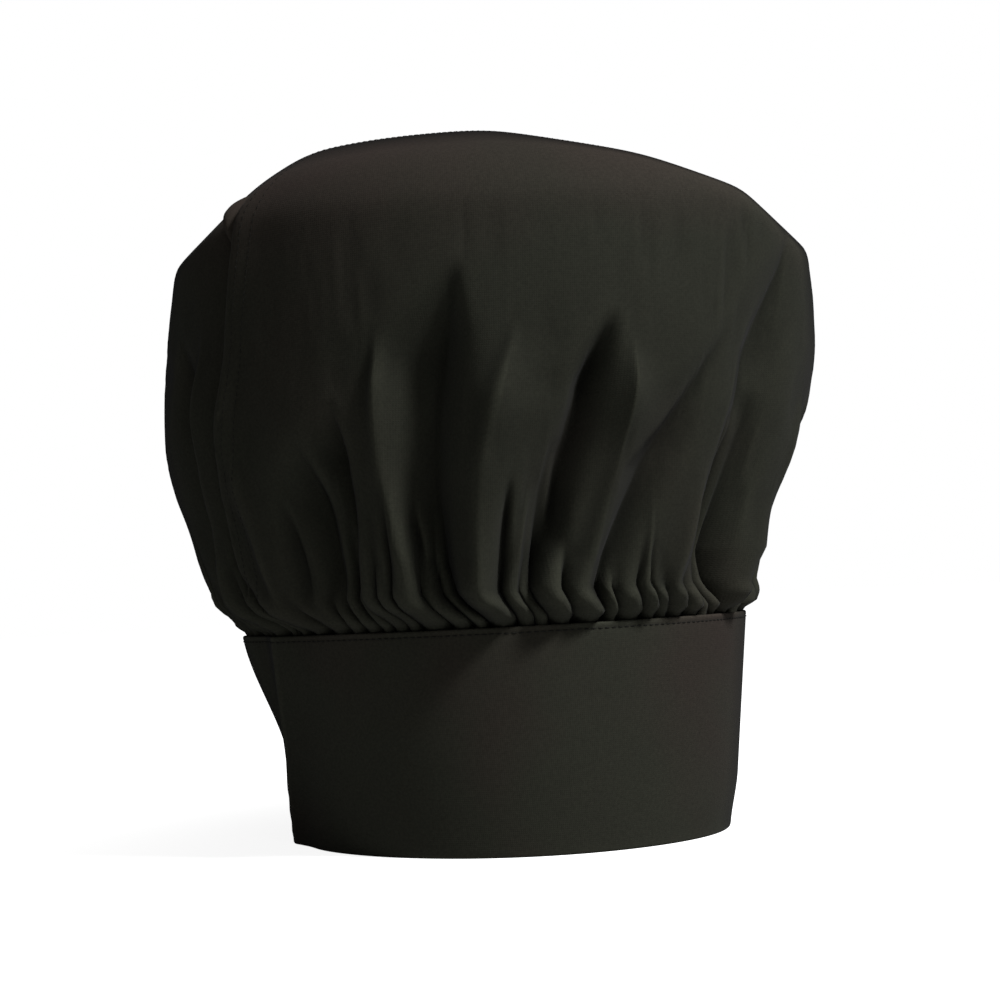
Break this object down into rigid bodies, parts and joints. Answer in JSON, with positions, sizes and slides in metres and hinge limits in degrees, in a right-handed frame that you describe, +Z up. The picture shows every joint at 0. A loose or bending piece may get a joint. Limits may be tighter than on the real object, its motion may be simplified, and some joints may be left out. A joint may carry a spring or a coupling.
{
  "type": "chef toque",
  "caption": "Black poplin chef's toque: a gathered, floppy two-panel crown on a high stiffened band, closed behind by a hook-and-loop tab.",
  "frame": {"origin": "centre of the head opening, in the plane of the band's lower rim", "axes": "+Z up through the crown, -Y to the front of the hat, +X to the wearer's left"},
  "size_m": [0.2824, 0.2824, 0.2965],
  "materials": {
    "crown_cloth": "matt black poplin, faint olive tone, soft sheen",
    "band_cloth": "matt black poplin, faint olive tone, soft sheen",
    "seam_thread": "black spun polyester thread",
    "interlining": "off-white stiff fusible interlining",
    "facing_cloth": "matt black poplin",
    "sweatband_cloth": "black absorbent twill",
    "loop_tape": "black napped loop tape",
    "hook_tape": "black nylon hook tape",
    "label_cloth": "white woven satin, blank"
  },
  "bodies": {
    "hat": {"crown_front_panel": "crown_cloth", "crown_rear_panel": "crown_cloth", "crown_seam_stitches": "seam_thread", "band_outer_panel": "band_cloth", "band_interlining": "interlining", "band_facing": "facing_cloth", "sweatband": "sweatband_cloth", "band_top_stitches": "seam_thread", "sweatband_stitches": "seam_thread", "loop_tape_lower": "loop_tape", "loop_tape_upper": "loop_tape", "tab_anchor_strip": "band_cloth", "tab_anchor_stitches": "seam_thread"},
    "closure_tab": {"tab_outer_panel": "band_cloth", "tab_interlining": "interlining", "tab_facing": "facing_cloth", "hook_tape_lower": "hook_tape", "hook_tape_upper": "hook_tape", "tab_edge_stitches": "seam_thread", "hook_tape_stitches": "seam_thread"},
    "label_flap": {"care_label": "label_cloth"}
  },
  "joints": [
    {"name": "closure_tab_peel", "type": "hinge", "parent": "hat", "child": "closure_tab", "pos_m": [0.04, 0.0964, 0.043], "axis": [0, -0.0716, -0.9974], "range_deg": [0, 110]},
    {"name": "care_label_flip", "type": "hinge", "parent": "hat", "child": "label_flap", "pos_m": [-0.04554, 0.08629, 0.084], "axis": [-0.8829, -0.4695, 0], "range_deg": [0, 120]}
  ]
}
